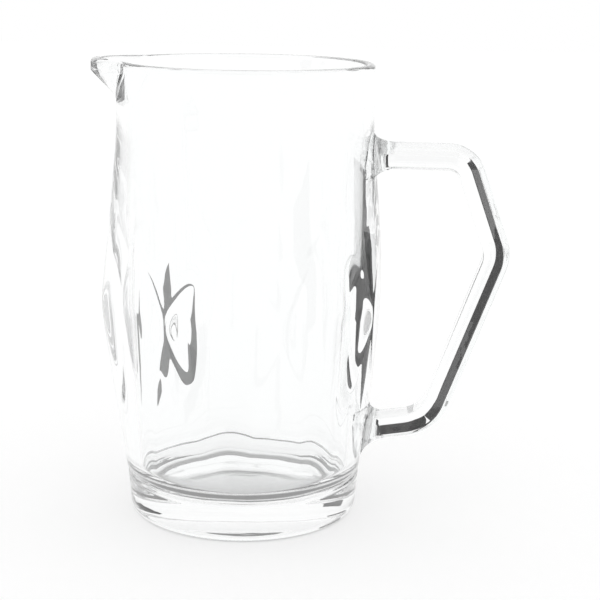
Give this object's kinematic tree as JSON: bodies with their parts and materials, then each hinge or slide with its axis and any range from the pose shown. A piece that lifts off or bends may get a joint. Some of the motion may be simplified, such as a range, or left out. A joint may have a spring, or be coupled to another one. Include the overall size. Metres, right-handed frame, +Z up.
{
  "type": "glass pitcher",
  "caption": "Clear glass pitcher with a panelled barrel body, thick round foot, pouring lip and angular strap handle, for serving beer and other drinks.",
  "frame": {"origin": "on the vessel's axis at the table it stands on", "axes": "+Z up along the vessel's axis, +X towards the handle, -X towards the pouring lip"},
  "size_m": [0.2014, 0.131, 0.2206],
  "materials": {
    "vessel_glass": "polished",
    "handle_glass": "polished"
  },
  "bodies": {
    "root": {"vessel": "vessel_glass", "handle": "handle_glass"}
  },
  "joints": []
}
